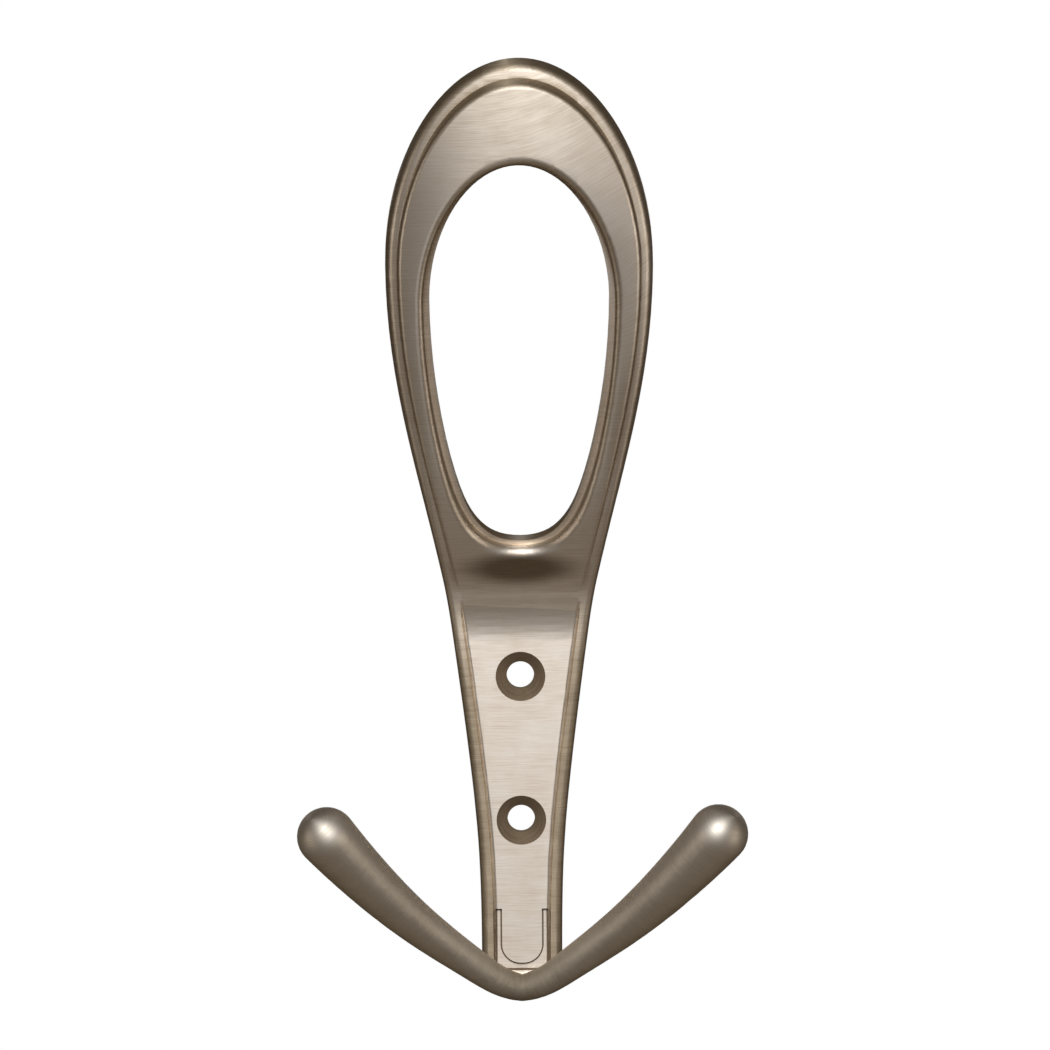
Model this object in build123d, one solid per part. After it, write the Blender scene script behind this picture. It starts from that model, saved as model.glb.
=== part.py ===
from build123d import *
import math
import os

os.makedirs("parts", exist_ok=True)

# All sizes are in millimetres and all angles in degrees.
# The origin is on the wall face of the stem, midway between the two screw holes.
# X runs to the right, Z up and Y into the wall, so the hook faces -Y.

# Screw holes in the stem
hole_spacing = 25.4
hole_diameter = 4.8
countersink_diameter = 8.7
countersink_angle = 90.0

# Side profile of the plate: straight stem, bend forward, long reverse curve up the loop
plate_thickness = 5.2
bend_start = 20.0
bend_radius = 20.0
face_lean = 38.0
back_lag = 0.9
back_lean = face_lean - back_lag
loop_radius = 140.0

# Flange round the loop, which leans a little less and runs on as the rails of the stem
flange_lag = 1.9
flange_lean = face_lean - flange_lag
flange_bend_rise = 1.5
flange_bend_start = bend_start + flange_bend_rise
flange_edge_radius = 1.3
back_edge_radius = 0.6

# Raised face of the loop, which sinks below the flange in the bend
face_sink = 0.7
face_depth = plate_thickness - face_sink
face_root_depth = 1.5
face_inset_side = 1.9
face_inset_top = 1.8
face_edge_radius = 0.9

# Front outline of loop and stem: half widths at heights along a draw plane about square to the loop
draw_tilt = 25.0
loop_crown = 32.1
loop_wide_height = 91.7
loop_half_width = 22.6
arm_height = 67.2
arm_half_width = 20.35
neck_height = 42.4
neck_half_width = 15.6
stem_top_height = 17.9
stem_top_half_width = 11.5
stem_middle_height = -4.6
stem_middle_half_width = 8.4
stem_foot_height = -32.3
stem_foot_half_width = 7.05
stem_foot_drop = 5.4

# Opening in the loop: heights above its lowest point, and the band of metal left beside it
opening_tilt = 25.0
opening_bottom_rise = 18.35
opening_bottom_height = bend_start + opening_bottom_rise
opening_toe_rise = 3.6
opening_toe_height = opening_bottom_height + opening_toe_rise
opening_toe_half_width = 7.0
opening_heel_rise = 12.15
opening_heel_height = opening_bottom_height + opening_heel_rise
neck_band = 5.0
opening_heel_half_width = neck_half_width - neck_band
opening_low_rise = 24.3
opening_low_height = opening_bottom_height + opening_low_rise
arm_band = 7.15
opening_low_half_width = arm_half_width - arm_band
opening_wide_rise = 47.2
opening_wide_height = opening_bottom_height + opening_wide_rise
loop_band = 7.4
opening_half_width = loop_half_width - loop_band
opening_crown = 22.4
opening_rim_radius = 1.5
opening_back_radius = 0.9

# Parting ledge half way through the opening
rim_wall = 2.8
parting_depth = plate_thickness - rim_wall
parting_ledge = 1.0

# Sunk web between the rails of the stem
web_sink = 1.2
web_thickness = plate_thickness - web_sink
rail_width = 2.05
web_bend_drop = 1.0
web_bend_start = bend_start - web_bend_drop
web_bend_radius = 15.0
web_bend_sweep = 52.0
web_corner_radius = 0.8

# Tongue and shallow pockets at the foot of the web
tongue_half_width = 3.5
tongue_shoulder_rise = 3.9
tongue_shoulder_height = stem_foot_height + tongue_shoulder_rise
tongue_foot_drop = 5.7
tongue_foot_height = stem_foot_height - tongue_foot_drop
tongue_corner = 3.2
pocket_depth = 0.7

# Prongs: centre line at six stations, forward of and above the root in the middle of the V
root_sink = 0.6
root_forward = plate_thickness - root_sink
root_drop = 10.0
root_height = stem_foot_height - root_drop
root_radius = 2.4
heel_side = 3.0
heel_reach = 0.9
heel_rise = 0.9
foot_side = 8.0
foot_reach = 3.8
foot_rise = 4.45
calf_side = 17.2
calf_reach = 11.9
calf_rise = 12.7
knee_side = 24.9
knee_reach = 20.0
knee_rise = 21.0
knob_side = 33.2
knob_reach = 28.4
knob_rise = 31.4
knob_radius = 5.05
prong_swell = 1.1
prong_sections = 14

# Working extents that pass the part on every side
reach_top = loop_wide_height + 1.25 * loop_crown
reach_low = 2 * stem_foot_height
reach_front = loop_wide_height
reach_side = 2 * loop_half_width


def arc_point(center, radius, angle):
    turn = math.radians(angle)
    return Vector(0, center.Y + radius * math.cos(turn), center.Z + radius * math.sin(turn))


def side_curve(depth, start, lean):
    """Edges, from the foot up, of a surface that stands this far in front of the wall on the stem."""
    bend_center = Vector(0, -bend_radius, start)
    loop_center = arc_point(bend_center, bend_radius + loop_radius, lean)
    loop_reach = loop_radius + depth
    top_lean = math.degrees(math.asin((loop_center.Z - reach_top) / loop_reach))
    bend = [arc_point(bend_center, bend_radius - depth, angle) for angle in (0, lean / 2, lean)]
    rise = [arc_point(loop_center, -loop_reach, angle) for angle in ((lean + top_lean) / 2, top_lean)]
    foot = Vector(0, -depth, reach_low)
    return [Line(foot, bend[0]), ThreePointArc(*bend), ThreePointArc(bend[2], *rise)]


def web_curve():
    """Edges of the web surface: straight up the stem, then forward until it leaves the metal."""
    center = Vector(0, -web_thickness - web_bend_radius, web_bend_start)
    bend = [arc_point(center, web_bend_radius, angle) for angle in (0, web_bend_sweep / 2, web_bend_sweep)]
    foot = Vector(0, -web_thickness, reach_low)
    return [Line(foot, bend[0]), ThreePointArc(*bend)]


def slab(edges_behind, edges_before):
    """Solid between two side curves."""
    low = Line(edges_behind[0] @ 0, edges_before[0] @ 0)
    high = Line(edges_behind[-1] @ 1, edges_before[-1] @ 1)
    section = make_face(edges_behind + [high] + edges_before + [low])
    return extrude(section, amount=reach_side, dir=(1, 0, 0), both=True)


def space_before(edges):
    """Everything in front of a side curve."""
    low = edges[0] @ 0
    high = edges[-1] @ 1
    low_front = Vector(0, -reach_front, low.Z)
    high_front = Vector(0, -reach_front, high.Z)
    frame = [Line(high, high_front), Line(high_front, low_front), Line(low_front, low)]
    return extrude(make_face(edges + frame), amount=reach_side, dir=(1, 0, 0), both=True)


def prism(face, tilt):
    """The face carried through the part along a line that dips by the tilt toward the room."""
    turn = math.radians(tilt)
    toward_room = (0, -math.cos(turn), -math.sin(turn))
    plane = Plane(origin=(0, 0, 0), x_dir=(1, 0, 0), z_dir=toward_room)
    return extrude(plane * face, amount=reach_front, both=True)


def symmetric_face(right_side, closing_edges):
    return make_face([right_side, right_side.mirror(Plane.YZ)] + closing_edges)


def crown_arc(height, half_width, rise):
    return EllipticalCenterArc((0, height), half_width, rise, start_angle=0, arc_size=180)


def plate_face(inset_side, inset_top):
    """Outline of loop and stem, brought in from the silhouette by the insets."""
    loop = loop_half_width - inset_side
    foot = stem_foot_half_width - inset_side
    side = Spline(
        (loop, loop_wide_height),
        (arm_half_width - inset_side, arm_height),
        (neck_half_width - inset_side, neck_height),
        (stem_top_half_width - inset_side, stem_top_height),
        (stem_middle_half_width - inset_side, stem_middle_height),
        (foot, stem_foot_height),
        tangents=[(0, -1), (0, -1)],
    )
    crown = crown_arc(loop_wide_height, loop, loop_crown - inset_top)
    base = EllipticalCenterArc((0, stem_foot_height), foot, stem_foot_drop, start_angle=180, arc_size=180)
    return symmetric_face(side, [crown, base])


def opening_face(grow):
    """Outline of the opening, moved outward by the growth."""
    points = [
        Vector(opening_half_width, opening_wide_height),
        Vector(opening_low_half_width, opening_low_height),
        Vector(opening_heel_half_width, opening_heel_height),
        Vector(opening_toe_half_width, opening_toe_height),
        Vector(0, opening_bottom_height),
    ]
    end_directions = [(0, -1), (-1, 0)]
    side = Spline(*points, tangents=end_directions)
    turns = [side.tangent_at(side.param_at_point(point)) for point in points]
    grown = [point + Vector(-turn.Y, turn.X) * grow for point, turn in zip(points, turns)]
    crown = crown_arc(opening_wide_height, opening_half_width + grow, opening_crown + grow)
    return symmetric_face(Spline(*grown, tangents=end_directions), [crown])


def faces_looking(solid, toward_wall):
    return [face for face in solid.faces() if face.normal_at().Y * toward_wall > 0.7]


def outline_edges(solid, toward_wall):
    """Edges of the faces that look to the wall (1) or the room (-1), without straight cross lines."""
    edges = [edge for face in faces_looking(solid, toward_wall) for edge in face.edges()]
    return [edge for edge in edges if edge.geom_type != GeomType.LINE or abs(edge.tangent_at(0.5).X) < 0.9]


def round_opening(solid, toward_wall, radius):
    face = max(faces_looking(solid, toward_wall), key=lambda candidate: candidate.area)
    return fillet(face.inner_wires()[0].edges(), radius)


def plate():
    """Loop and stem at flange level, with rounded edges."""
    back = side_curve(0, bend_start, back_lean)
    front = side_curve(plate_thickness, flange_bend_start, flange_lean)
    solid = prism(plate_face(0, 0), draw_tilt) & slab(back, front)
    solid = fillet(outline_edges(solid, -1), flange_edge_radius)
    return fillet(outline_edges(solid, 1), back_edge_radius)


def raised_face():
    """Second tier that stands out of the flange on the loop and runs out in the bend."""
    root = side_curve(face_root_depth, bend_start, back_lean)
    front = side_curve(face_depth, bend_start, face_lean)
    solid = prism(plate_face(face_inset_side, face_inset_top), draw_tilt) & slab(root, front)
    return fillet(outline_edges(solid, -1), face_edge_radius)


def channel():
    """Cutter for the sunk web between the rails."""
    solid = prism(plate_face(rail_width, rail_width), draw_tilt) & space_before(web_curve())
    return fillet(outline_edges(solid, 1), web_corner_radius)


def open_loop(solid):
    """The solid with the oval opening, stepped at the parting ledge and rounded front and back."""
    before_parting = space_before(side_curve(parting_depth, bend_start, back_lean))
    solid = solid - prism(opening_face(0), opening_tilt)
    solid = solid - (prism(opening_face(parting_ledge), opening_tilt) & before_parting)
    solid = round_opening(solid, -1, opening_rim_radius)
    return round_opening(solid, 1, opening_back_radius)


def screw_hole(height):
    """Cutter for one countersunk hole, square to the wall."""
    cone_depth = (countersink_diameter - hole_diameter) / 2 / math.tan(math.radians(countersink_angle / 2))
    bore = Rot(90, 0, 0) * Cylinder(hole_diameter / 2, 4 * plate_thickness)
    cone = Rot(90, 0, 0) * Cone(hole_diameter / 2, countersink_diameter / 2, cone_depth)
    return Pos(0, 0, height) * (bore + Pos(0, cone_depth / 2 - web_thickness, 0) * cone)


def tongue_pockets():
    """Cutter for the shallow pockets beside and below the tongue."""
    field_width = 2 * (stem_foot_half_width - rail_width) - web_corner_radius
    field_length = tongue_shoulder_height - stem_foot_height + stem_foot_half_width
    field = Pos(0, tongue_shoulder_height - field_length / 2) * Rectangle(field_width, field_length)
    length = tongue_shoulder_height - tongue_foot_height
    tongue = Pos(0, tongue_shoulder_height - length / 2) * Rectangle(2 * tongue_half_width, length)
    tongue = fillet(tongue.vertices().group_by(Axis.Y)[0], tongue_corner)
    floor = Plane.XZ.offset(web_thickness - pocket_depth)
    return extrude(floor * (field - tongue), amount=2 * pocket_depth)


def prong():
    """Right prong from the middle of the V to the knob, round in section and swelling outward."""
    stations = [
        Vector(0, -root_forward, root_height),
        Vector(heel_side, -root_forward - heel_reach, root_height + heel_rise),
        Vector(foot_side, -root_forward - foot_reach, root_height + foot_rise),
        Vector(calf_side, -root_forward - calf_reach, root_height + calf_rise),
        Vector(knee_side, -root_forward - knee_reach, root_height + knee_rise),
        Vector(knob_side, -root_forward - knob_reach, root_height + knob_rise),
    ]
    mirrored_stations = [Vector(-point.X, point.Y, point.Z) for point in reversed(stations[1:])]
    path = Spline(*mirrored_stations, *stations)
    sections = []
    for step in range(prong_sections + 1):
        share = step / prong_sections
        place = (1 + share) / 2
        along = path.tangent_at(place)
        upward = Vector(0, 0, 1) - along * along.Z
        radius = root_radius + (knob_radius - root_radius) * share**prong_swell
        sections.append(Plane(origin=path @ place, x_dir=upward, z_dir=along) * Circle(radius))
    flare = math.atan(2 * prong_swell * (knob_radius - root_radius) / path.length)
    knob = Sphere(
        knob_radius / math.cos(flare),
        arc_size1=-math.degrees(flare),
        arc_size2=90,
        align=(Align.CENTER, Align.CENTER, Align.MIN),
    )
    return loft(sections) + Plane(origin=path @ 1, z_dir=path.tangent_at(1)) * knob


body = plate() + raised_face() - channel()
body = open_loop(body)
body = body - screw_hole(hole_spacing / 2) - screw_hole(-hole_spacing / 2) - tongue_pockets()
right_prong = prong()
hook_body = body + (right_prong + right_prong.mirror(Plane.YZ))
hook_body.label = "hook_body"
export_step(hook_body, "parts/hook_body.step")
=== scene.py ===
import math

import bmesh
import bpy
from mathutils import Matrix, Vector


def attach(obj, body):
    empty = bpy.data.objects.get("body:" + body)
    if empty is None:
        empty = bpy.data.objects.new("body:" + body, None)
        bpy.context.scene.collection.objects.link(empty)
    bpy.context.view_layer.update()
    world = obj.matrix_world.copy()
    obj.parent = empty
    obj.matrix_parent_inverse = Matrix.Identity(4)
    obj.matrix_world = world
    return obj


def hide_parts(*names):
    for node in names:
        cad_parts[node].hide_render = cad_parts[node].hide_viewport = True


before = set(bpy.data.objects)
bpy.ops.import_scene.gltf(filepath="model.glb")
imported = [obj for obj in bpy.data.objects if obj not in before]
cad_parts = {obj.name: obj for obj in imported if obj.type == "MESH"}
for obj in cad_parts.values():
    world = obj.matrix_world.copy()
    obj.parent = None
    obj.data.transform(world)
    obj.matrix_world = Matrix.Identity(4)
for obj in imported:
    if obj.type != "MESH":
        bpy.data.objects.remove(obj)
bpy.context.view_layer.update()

# Hook casting
# The whole coat hook is one zinc die casting: leaning loop, flat stem and two round prongs.
# It is plated with nickel and brushed on a wheel, so fine lines run across the stem and loop.
# Two countersunk screws hold it flat against the wall.

# The sizes below are in millimetres, from the frame's own origin, and the angles in degrees.
MM = 0.001


def linear(hex_colour):
    """An sRGB hex colour as linear red, green, blue and alpha."""
    levels = [int(hex_colour[start:start + 2], 16) / 255 for start in (1, 3, 5)]
    colour = [level / 12.92 if level <= 0.04045 else ((level + 0.055) / 1.055) ** 2.4 for level in levels]
    return (*colour, 1.0)


def add_node(tree, kind, settings=None, values=None, links=None):
    """Adds a node with its properties, its input values and its links from other nodes' sockets."""
    node = tree.nodes.new(kind)
    for name, value in (settings or {}).items():
        setattr(node, name, value)
    for name, value in (values or {}).items():
        node.inputs[name].default_value = value
    for name, socket in (links or {}).items():
        tree.links.new(socket, node.inputs[name])
    return node


def new_material(name):
    material = bpy.data.materials.new(name)
    material.use_nodes = True
    material.node_tree.nodes.clear()
    return material, material.node_tree


CROWN_RADIUS = 60.0
CROWN_FOOT = 30.0
CROWN_FULL = 60.0


def crown_height(tree, position):
    """Height in metres of the slight crown across the loop's face, which fades out down the neck.

    It is in the shading only: the mesh is flat from side to side there."""
    axes = add_node(tree, "ShaderNodeSeparateXYZ", links={"Vector": position})
    side = axes.outputs["X"]
    square = add_node(tree, "ShaderNodeMath", {"operation": "MULTIPLY"}, links={0: side, 1: side})
    sag = add_node(tree, "ShaderNodeMath", {"operation": "MULTIPLY"},
                   {1: -0.5 / (CROWN_RADIUS * MM)}, {0: square.outputs["Value"]})
    share = add_node(tree, "ShaderNodeMapRange", {"interpolation_type": "SMOOTHSTEP"},
                     {"From Min": CROWN_FOOT * MM, "From Max": CROWN_FULL * MM}, {"Value": axes.outputs["Z"]})
    crown = add_node(tree, "ShaderNodeMath", {"operation": "MULTIPLY"},
                     links={0: sag.outputs["Value"], 1: share.outputs["Result"]})
    return crown.outputs["Value"]


# Painted shade: a soft dark patch under the opening's rim, given by its middle, half sizes, core and tone.
RIM_SHADE_MIDDLE = (0.0, -9.5, 32.5)
RIM_SHADE_SIZE = (13.0, 6.0, 4.5)
RIM_SHADE_CORE = 0.35
RIM_SHADE_TONE = "#9b9285"


def rim_shade_share(tree, position):
    """How deep a place lies in the painted shade under the opening's rim: a soft dark patch that stands in
    for the shade and dark reflection in the hollow there.
    """
    place = add_node(tree, "ShaderNodeMapping", {"vector_type": "TEXTURE"},
                     {"Location": Vector(RIM_SHADE_MIDDLE) * MM, "Scale": Vector(RIM_SHADE_SIZE) * MM},
                     {"Vector": position})
    away = add_node(tree, "ShaderNodeVectorMath", {"operation": "LENGTH"}, links={0: place.outputs["Vector"]})
    share = add_node(tree, "ShaderNodeMapRange", {"interpolation_type": "SMOOTHSTEP"},
                     {"From Min": 1.0, "From Max": RIM_SHADE_CORE, "To Min": 0.0, "To Max": 1.0},
                     {"Value": away.outputs["Value"]})
    return share.outputs["Result"]


# Real brush lines are finer than 0.1 mm; they are drawn wider than that so that they show.
# Among them lie broad lines, this many times as long and as wide, and soft clouds.
BROAD_LENGTH = 2.0
BROAD_WIDTH = 6.25
BROAD_SHARE = 0.25
CLOUD_MM = 7.14
CLOUD_SHARE = 0.3
TONE_SPAN = (0.38, 0.62)
ROUGH_SPAN = (0.3, 0.7)
ROUGH_SPREAD = 0.05
PLAIN_ROUGHER = 0.25


def brushed_nickel(name, brushed, plain, roughness, stretch, line_mm, line_length_mm, depth_mm):
    """Nickel plate with brush lines along U of the grain map, which is in millimetres.

    Each tone is a pale and a dark colour: brushed where the plate was cut bright, plain on the rails, and
    plain again as painted shade on the top of the loop and near the V."""
    material, tree = new_material(name)
    grain = add_node(tree, "ShaderNodeUVMap", {"uv_map": "grain"}).outputs["UV"]
    fine_scale = (1 / line_length_mm, 1 / line_mm, 1.0)
    fine_map = add_node(tree, "ShaderNodeMapping", values={"Scale": fine_scale}, links={"Vector": grain})
    fine = add_node(tree, "ShaderNodeTexNoise", values={"Scale": 1.0, "Detail": 4.0, "Roughness": 0.65},
                    links={"Vector": fine_map.outputs["Vector"]})
    broad_scale = (1 / (BROAD_LENGTH * line_length_mm), 1 / (BROAD_WIDTH * line_mm), 1.0)
    broad_map = add_node(tree, "ShaderNodeMapping", values={"Scale": broad_scale}, links={"Vector": grain})
    broad = add_node(tree, "ShaderNodeTexNoise", values={"Scale": 1.0, "Detail": 2.0, "Roughness": 0.5},
                     links={"Vector": broad_map.outputs["Vector"]})
    position = add_node(tree, "ShaderNodeTexCoord").outputs["Object"]
    cloud = add_node(tree, "ShaderNodeTexNoise",
                     values={"Scale": 1 / (CLOUD_MM * MM), "Detail": 4.0, "Roughness": 0.6},
                     links={"Vector": position})
    lines = add_node(tree, "ShaderNodeMix", values={"Factor": BROAD_SHARE},
                     links={"A": fine.outputs["Fac"], "B": broad.outputs["Fac"]})
    tone = add_node(tree, "ShaderNodeMix", values={"Factor": CLOUD_SHARE},
                    links={"A": lines.outputs["Result"], "B": cloud.outputs["Fac"]})
    tones = []
    for pale, dark in (brushed, plain):
        ramp = add_node(tree, "ShaderNodeValToRGB", links={"Fac": tone.outputs["Result"]})
        for stop, place, colour in zip(ramp.color_ramp.elements, TONE_SPAN, (dark, pale)):
            stop.position = place
            stop.color = linear(colour)
        tones.append(ramp.outputs["Color"])
    # This attribute mixes in the plain tone and more roughness: on the rails, and as painted shade at the top
    # of the loop and near the V.
    dull_and_shade = add_node(tree, "ShaderNodeAttribute", {"attribute_name": "dull_and_shade"}).outputs["Fac"]
    plate = add_node(tree, "ShaderNodeMixRGB", links={"Fac": dull_and_shade, "Color1": tones[0], "Color2": tones[1]})
    # Painted shade: the plate is darkened in the patch under the opening's rim.
    shaded = add_node(tree, "ShaderNodeMixRGB", {"blend_type": "MULTIPLY"}, {"Color2": linear(RIM_SHADE_TONE)},
                      {"Fac": rim_shade_share(tree, position), "Color1": plate.outputs["Color"]})
    rough = add_node(tree, "ShaderNodeMapRange",
                     values={"From Min": ROUGH_SPAN[0], "From Max": ROUGH_SPAN[1],
                             "To Min": roughness + ROUGH_SPREAD, "To Max": roughness - ROUGH_SPREAD},
                     links={"Value": tone.outputs["Result"]})
    rougher = add_node(tree, "ShaderNodeMath", {"operation": "MULTIPLY_ADD"}, {1: PLAIN_ROUGHER},
                       {0: dull_and_shade, 2: rough.outputs["Result"]})
    relief = add_node(tree, "ShaderNodeMath", {"operation": "MULTIPLY_ADD"}, {1: depth_mm * MM},
                      {0: lines.outputs["Result"], 2: crown_height(tree, position)})
    bump = add_node(tree, "ShaderNodeBump", values={"Strength": 1.0, "Distance": 1.0},
                    links={"Height": relief.outputs["Value"]})
    tangent = add_node(tree, "ShaderNodeTangent", {"direction_type": "UV_MAP", "uv_map": "grain"})
    # A quarter turn stretches the highlight across the lines, as brushed metal does.
    shader = add_node(tree, "ShaderNodeBsdfPrincipled",
                      values={"Metallic": 1.0, "Anisotropic": stretch, "Anisotropic Rotation": 0.25},
                      links={"Base Color": shaded.outputs["Color"], "Roughness": rougher.outputs["Value"],
                             "Normal": bump.outputs["Normal"], "Tangent": tangent.outputs["Tangent"]})
    add_node(tree, "ShaderNodeOutputMaterial", links={"Surface": shader.outputs["BSDF"]})
    return material


# Brushed nickel plate: pale and warm with a broad sheen, browner on the rails, and browner as painted shade
# on the steep walls at the top of the loop.
nickel = brushed_nickel("brushed_nickel_plate",
                        brushed=("#efe3d2", "#d1c1ac"), plain=("#c6b59b", "#a4947b"),
                        roughness=0.46, stretch=0.55, line_mm=0.2, line_length_mm=6.0, depth_mm=0.008)
# Satin nickel on the prongs, which were only tumbled: a soft round highlight, and painted shade that darkens
# them near the V, where they are also rougher.
satin_nickel = brushed_nickel("satin_nickel_prongs",
                              brushed=("#e2d8c8", "#cdc1af"), plain=("#b3a793", "#9d917d"),
                              roughness=0.56, stretch=0.25, line_mm=0.2, line_length_mm=5.0, depth_mm=0.004)
# Dark nickel in the cut countersinks, where the plate is thin and matt, and as painted shade in the creases
# round the tongue.
seat_and_crease_shade_nickel = brushed_nickel("dark_nickel_countersinks_and_crease_shade",
                             brushed=("#a8947b", "#8a7961"), plain=("#a8947b", "#8a7961"),
                             roughness=0.8, stretch=0.2, line_mm=0.12, line_length_mm=6.0, depth_mm=0.004)
FACE, RAIL, PRONG, SEAT_AND_CREASE_SHADE = range(4)

# Half width of the stem at its foot, middle, top and neck, as (height, half width).
STEM_SIDES = ((-36.0, 7.05), (-6.0, 8.4), (18.0, 11.5), (41.0, 15.6))


def stem_half_width(height):
    if height <= STEM_SIDES[0][0]:
        return STEM_SIDES[0][1]
    for (lower, narrow), (upper, wide) in zip(STEM_SIDES, STEM_SIDES[1:]):
        if height <= upper:
            return narrow + (wide - narrow) * (height - lower) / (upper - lower)
    return STEM_SIDES[-1][1]


RAIL_DEPTH = 5.2
RAIL_SLACK = 0.35
BEND_START = 21.5
BEND_RADIUS = 14.8


def rail_front(height):
    """Depth just behind the front of the rails, which swing forward in the bend."""
    rise = min(max(height - BEND_START, 0.0), BEND_RADIUS)
    return RAIL_SLACK - RAIL_DEPTH - BEND_RADIUS + math.sqrt(BEND_RADIUS ** 2 - rise ** 2)


WEB_DEPTH = 4.0
WEB_SLACK = 0.03
POCKET_SIDE = 4.9
POCKET_FOOT = -41.0
POCKET_TOP = -27.5
POCKET_BACK = -2.5


def in_pocket(center):
    """Whether a place lies in the shallow pocket round the tongue at the foot of the web."""
    in_outline = abs(center.x) < POCKET_SIDE and POCKET_FOOT < center.z < POCKET_TOP
    return in_outline and WEB_SLACK - WEB_DEPTH < center.y < POCKET_BACK


HOLE_HEIGHTS = (12.7, -12.7)
COUNTERSINK_RADIUS = 4.4
BACK_FACING = 0.5
FLAT_SLACK = 0.05
PRONG_SLACK = 0.15
STEM_FOOT = -40.5
RAIL_TOP = 34.0
RAIL_EDGE = 1.3


def finish_of(center, normal):
    """Which of the four finishes a face of the casting carries, from its middle and the way it faces; the
    dark countersink one is also painted shade in the pocket round the tongue.
    """
    if normal.y > BACK_FACING and (center.y > -FLAT_SLACK or center.z > 0):
        return FACE
    for height in HOLE_HEIGHTS:
        if math.hypot(center.x, center.z - height) < COUNTERSINK_RADIUS and center.y > -WEB_DEPTH - WEB_SLACK:
            return SEAT_AND_CREASE_SHADE
    # The pocket's walls take the dark nickel as painted shade.
    if in_pocket(center):
        return SEAT_AND_CREASE_SHADE
    side = stem_half_width(center.z)
    before_rails = center.y < -RAIL_DEPTH - FLAT_SLACK
    beside_stem = abs(center.x) > side + PRONG_SLACK
    if center.z < 0 and (before_rails or beside_stem or center.z < STEM_FOOT):
        return PRONG
    if center.z < RAIL_TOP and (abs(center.x) > side - RAIL_EDGE or center.y < rail_front(center.z)):
        return RAIL
    return FACE


def clamp(value):
    return min(max(value, 0.0), 1.0)


LOOP_LEAN = 38.0
LOOP_FOOT = 32.3
LOOP_RADIUS = 140.0
FACE_TURN = 12.0
WALL_TURN = 40.0
TOP_FOOT = 97.0
TOP_FULL = 113.0
TOP_DULL_AND_SHADE = 0.4


def top_dull_and_shade(height, normal):
    """How far the top of the loop takes the plain tone, which is rougher and painted shade: a little on the
    face, fully on the steep walls.
    """
    rise = clamp((height - TOP_FOOT) / (TOP_FULL - TOP_FOOT))
    lean = math.asin(math.sin(math.radians(LOOP_LEAN)) - max(height - LOOP_FOOT, 0.0) / LOOP_RADIUS)
    turn = math.degrees(normal.angle(Vector((0, -math.cos(lean), -math.sin(lean)))))
    steep = clamp((turn - FACE_TURN) / (WALL_TURN - FACE_TURN))
    return rise * (TOP_DULL_AND_SHADE + (1.0 - TOP_DULL_AND_SHADE) * steep)


SLANT_STEP = 0.12
SLANT_STARTS = (-6.0, -2.0, 2.0, 6.0, 10.0)
SLANT_FOOT = 62.0
SLANT_FADE = 30.0


def slant(side, height):
    """How far the brush lines have climbed at this place: they turn upward on the right of the loop."""
    loop_share = clamp((height - SLANT_FOOT) / SLANT_FADE)
    return SLANT_STEP * loop_share * sum(max(side - start, 0.0) for start in SLANT_STARTS)


# Centre line of the right prong from the middle of the V to the knob, as (side, depth, height).
PRONG_LINE = (
    (0.0, -4.6, -42.3), (3.0, -5.5, -41.4), (8.0, -8.4, -37.85),
    (17.2, -16.5, -29.6), (24.9, -24.6, -21.3), (33.2, -33.0, -10.9), (38.0, -37.6, -4.4),
)
# Radius that turns an angle round a prong or a countersink into millimetres of grain.
GRAIN_RADIUS = 4.0
# The left prong's grain starts this far on, so that the two prongs differ.
LEFT_GRAIN_START = 60.0


def prong_grain(point):
    """Grain coordinates on a prong: round it, and along its centre line."""
    spot = Vector((abs(point.x), point.y, point.z))
    best = None
    run = 0.0
    for start, end in zip(PRONG_LINE, PRONG_LINE[1:]):
        start, along = Vector(start), Vector(end) - Vector(start)
        share = clamp((spot - start).dot(along) / along.length_squared)
        offset = spot - start - along * share
        if best is None or offset.length < best[0]:
            up = Vector((0, 0, 1)) - along * (along.z / along.length_squared)
            side = along.cross(up)
            angle = math.atan2(offset.dot(side) / side.length, offset.dot(up) / up.length)
            best = (offset.length, angle, run + share * along.length)
        run += along.length
    return best[1] * GRAIN_RADIUS, best[2] + (LEFT_GRAIN_START if point.x < 0 else 0.0)


def seat_grain(point):
    """Grain coordinates in a countersink or a crease: round the nearest hole, and out from it."""
    height = min(HOLE_HEIGHTS, key=lambda hole: abs(point.z - hole))
    return GRAIN_RADIUS * math.atan2(point.x, point.z - height), math.hypot(point.x, point.z - height)


# The casting keeps the shape of the solid; it is cut where the brush lines turn.
MERGE_GAP = 0.004
SHARP_ANGLE = 38.0
shape = bmesh.new()
shape.from_mesh(bpy.data.objects["hook_body"].data)
bmesh.ops.remove_doubles(shape, verts=shape.verts, dist=MERGE_GAP * MM)
for start in SLANT_STARTS:
    everything = shape.verts[:] + shape.edges[:] + shape.faces[:]
    bmesh.ops.bisect_plane(shape, geom=everything, plane_co=(start * MM, 0, 0), plane_no=(1, 0, 0))
for edge in shape.edges:
    in_root = max(vert.co.z for vert in edge.verts) < STEM_FOOT * MM
    edge.smooth = in_root or edge.calc_face_angle(0.0) < math.radians(SHARP_ANGLE)
grain_map = shape.loops.layers.uv.new("grain")
dull_and_shade_map = shape.loops.layers.float.new("dull_and_shade")
finishes = {face: finish_of(face.calc_center_median() / MM, face.normal) for face in shape.faces}

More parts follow.
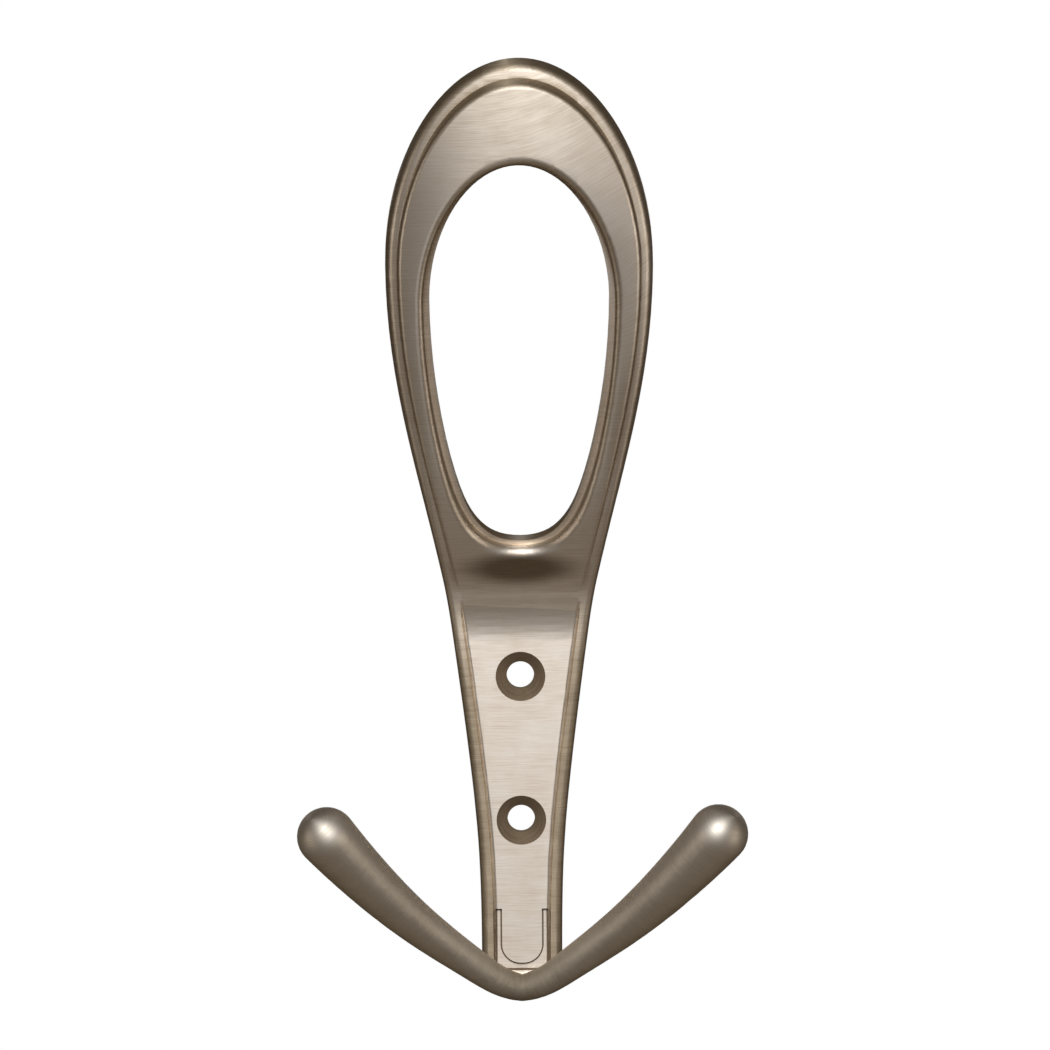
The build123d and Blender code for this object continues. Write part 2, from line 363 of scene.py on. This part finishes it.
# The floor of the pocket is brushed like the web, with a strip of painted shade in the dark nickel along its
# edges.
POCKET_FLOOR = -3.3
POCKET_SHADE_STRIP = 0.3
FLOOR_SLACK = 0.1
FRONT_FACING = -0.98
floors = []
for face in shape.faces:
    center = face.calc_center_median() / MM
    if in_pocket(center) and face.normal.y < FRONT_FACING and abs(center.y - POCKET_FLOOR) < FLOOR_SLACK:
        floors.append(face)
inset = bmesh.ops.inset_region(shape, faces=floors, thickness=POCKET_SHADE_STRIP * MM, use_even_offset=True)
finishes.update({face: SEAT_AND_CREASE_SHADE for face in inset["faces"]})
finishes.update({face: FACE for face in floors})

RAIL_FADE = 20.0
ROOT_SHADE_FADE = 15.0
for face in shape.faces:
    face.smooth = True
    finish = finishes[face]
    face.material_index = {SEAT_AND_CREASE_SHADE: 1, PRONG: 2}.get(finish, 0)
    for corner in face.loops:
        point = corner.vert.co / MM
        if finish in (FACE, RAIL):
            corner[grain_map].uv = (point.x, point.z - slant(point.x, point.z))
        # Painted shade: the top of the loop turns darker, most on its steep walls.
        if finish == FACE and point.z > TOP_FOOT:
            corner[dull_and_shade_map] = top_dull_and_shade(point.z, corner.vert.normal)
        elif finish == RAIL:
            corner[dull_and_shade_map] = clamp((RAIL_TOP - point.z) / RAIL_FADE)
        elif finish == PRONG:
            corner[grain_map].uv = prong_grain(point)
            # Painted shade: the prongs turn darker, and rougher, towards the V.
            corner[dull_and_shade_map] = clamp(1.0 - abs(point.x) / ROOT_SHADE_FADE)
        elif finish == SEAT_AND_CREASE_SHADE:
            corner[grain_map].uv = seat_grain(point)

hook_mesh = bpy.data.meshes.new("hook_casting")
shape.to_mesh(hook_mesh)
shape.free()
for material in (nickel, seat_and_crease_shade_nickel, satin_nickel):
    hook_mesh.materials.append(material)
hook = bpy.data.objects.new("hook_casting", hook_mesh)
bpy.context.scene.collection.objects.link(hook)
smoothing = hook.modifiers.new("weighted_normals", "WEIGHTED_NORMAL")
smoothing.keep_sharp = True
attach(hook, "root")
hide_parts("hook_body")


# Floor and backdrop
# A plain pale floor well below the hook and a white backdrop behind it, as in a small photo studio.
# The backdrop is white to the eye and in reflections, and otherwise takes the lamps' light as paper does.
def add_sheet(name, size, place, turn, material):
    mesh = bpy.data.meshes.new(name)
    form = bmesh.new()
    matrix = Matrix.Translation(place) @ turn
    bmesh.ops.create_grid(form, x_segments=1, y_segments=1, size=size, matrix=matrix)
    form.to_mesh(mesh)
    form.free()
    mesh.materials.append(material)
    item = bpy.data.objects.new(name, mesh)
    bpy.context.scene.collection.objects.link(item)


# Matt floor paint: pale and warm, so the hook's underside takes a soft warm light from it.
floor_paint, floor_tree = new_material("pale_floor_paint")
floor_shader = add_node(floor_tree, "ShaderNodeBsdfDiffuse", values={"Color": linear("#c6b69c")})
add_node(floor_tree, "ShaderNodeOutputMaterial", links={"Surface": floor_shader.outputs["BSDF"]})
add_sheet("floor", size=2.5, place=Vector((0, 0, -2.0)), turn=Matrix.Identity(4), material=floor_paint)

# White backdrop paper: plain white with no grain that the eye can see.
paper, paper_tree = new_material("white_backdrop_paper")
paths = add_node(paper_tree, "ShaderNodeLightPath")
seen = add_node(paper_tree, "ShaderNodeMath", {"operation": "MAXIMUM"},
                links={0: paths.outputs["Is Camera Ray"], 1: paths.outputs["Is Glossy Ray"]})
seen = add_node(paper_tree, "ShaderNodeMath", {"operation": "MAXIMUM"},
                links={0: seen.outputs["Value"], 1: paths.outputs["Is Transmission Ray"]})
matt = add_node(paper_tree, "ShaderNodeBsdfDiffuse", values={"Color": linear("#f2f2f2")})
glow = add_node(paper_tree, "ShaderNodeEmission", values={"Strength": 1.0})
either = add_node(paper_tree, "ShaderNodeMixShader",
                  links={0: seen.outputs["Value"], 1: matt.outputs["BSDF"], 2: glow.outputs["Emission"]})
add_node(paper_tree, "ShaderNodeOutputMaterial", links={"Surface": either.outputs["Shader"]})
upright_turn = Matrix.Rotation(math.radians(90), 4, "X")
add_sheet("backdrop", size=0.35, place=Vector((0, 1.4, -0.02)), turn=upright_turn, material=paper)

# Light
# One broad soft lamp stands in front and above, and two weaker ones at the sides.
# The room round them is dim and warm.
LAMP_TARGET = Vector((0, 0, 0.04))


def direction(azimuth, elevation):
    """Unit vector from the hook to a place at this azimuth and elevation in degrees."""
    turn, lift = math.radians(azimuth), math.radians(elevation)
    return Vector((math.sin(turn) * math.cos(lift), -math.cos(turn) * math.cos(lift), math.sin(lift)))


def soft_lamp(name, azimuth, elevation, distance, size, watts, tint):
    lamp = bpy.data.lights.new(name, "AREA")
    lamp.shape = "DISK"
    lamp.size = size
    lamp.energy = watts
    lamp.color = linear(tint)[:3]
    item = bpy.data.objects.new(name, lamp)
    bpy.context.scene.collection.objects.link(item)
    away = direction(azimuth, elevation)
    item.location = LAMP_TARGET + away * distance
    item.rotation_euler = away.to_track_quat("Z", "Y").to_euler()


soft_lamp("key_lamp", azimuth=-2, elevation=31, distance=1.8, size=0.72, watts=29.0, tint="#f0f5ff")
soft_lamp("right_lamp", azimuth=62, elevation=-8, distance=1.1, size=0.5, watts=1.5, tint="#fff8f0")
soft_lamp("left_lamp", azimuth=-66, elevation=-8, distance=1.1, size=0.5, watts=1.0, tint="#fff8f0")
world = bpy.data.worlds.new("dim_room")
bpy.context.scene.world = world
world.use_nodes = True
room = world.node_tree
room.nodes.clear()
dim = add_node(room, "ShaderNodeBackground", values={"Color": linear("#d0b898"), "Strength": 0.09})
add_node(room, "ShaderNodeOutputWorld", links={"Surface": dim.outputs["Background"]})

# Camera
# A long lens a metre away looks at the hook from straight in front and slightly above.
# Its distance and height are assumed, and the rest follows the photograph's outline.
SENSOR_MM = 36.0
FRAME_PIXELS = 1050
FOCAL_PIXELS = 5738
EYE_DISTANCE = 1.0
EYE_ROLL = 0.35
camera = bpy.data.cameras.new("camera")
camera.sensor_width = SENSOR_MM
camera.lens = SENSOR_MM * FOCAL_PIXELS / FRAME_PIXELS
eye = bpy.data.objects.new("camera", camera)
bpy.context.scene.collection.objects.link(eye)
aim = Vector((0.95, -4.0, 39.3)) * MM
back = direction(azimuth=-0.45, elevation=6.0)
upright = (-back).to_track_quat("-Z", "Y").to_matrix()
eye.location = aim + back * EYE_DISTANCE
eye.rotation_euler = (upright @ Matrix.Rotation(-math.radians(EYE_ROLL), 3, "Z")).to_euler()
bpy.context.scene.camera = eye
bpy.context.scene.view_settings.view_transform = "Standard"
